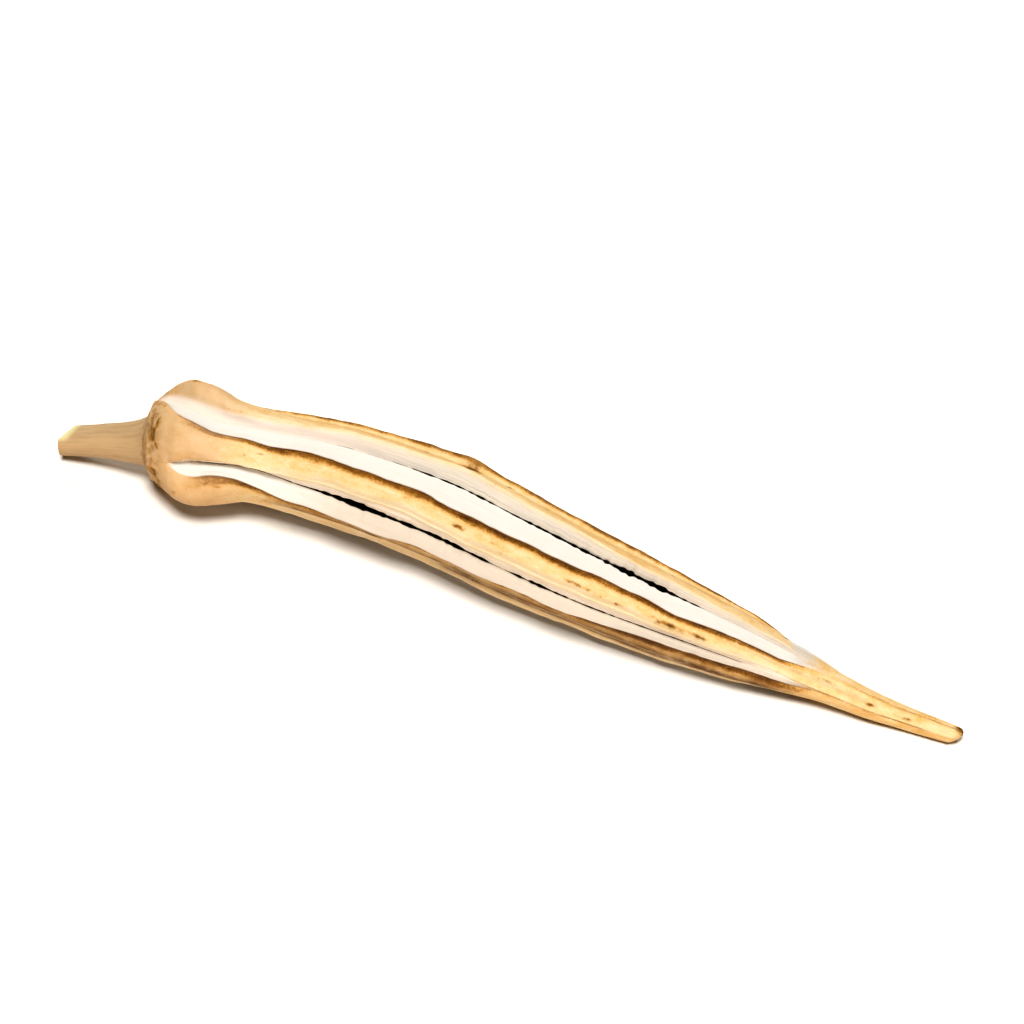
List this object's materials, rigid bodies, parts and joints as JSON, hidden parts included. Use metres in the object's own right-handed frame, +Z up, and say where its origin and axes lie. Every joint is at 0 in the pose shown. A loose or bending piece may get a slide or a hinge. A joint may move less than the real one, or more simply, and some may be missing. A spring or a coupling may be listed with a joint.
{
  "type": "dried okra pod",
  "caption": "Dry okra pod split open along its ridges, with a cut stalk, a lobed shoulder, channelled valves and a long pointed beak, lying on its side.",
  "frame": {"origin": "centre of the bounding box on the surface that the pod lies on", "axes": "+X from the cut stalk to the tip of the beak, +Z up from the surface"},
  "size_m": [0.1966, 0.0304, 0.0228],
  "materials": {
    "dry_husk": "matt, dry and fibrous"
  },
  "bodies": {
    "root": {"okra_pod": "dry_husk"}
  },
  "joints": []
}
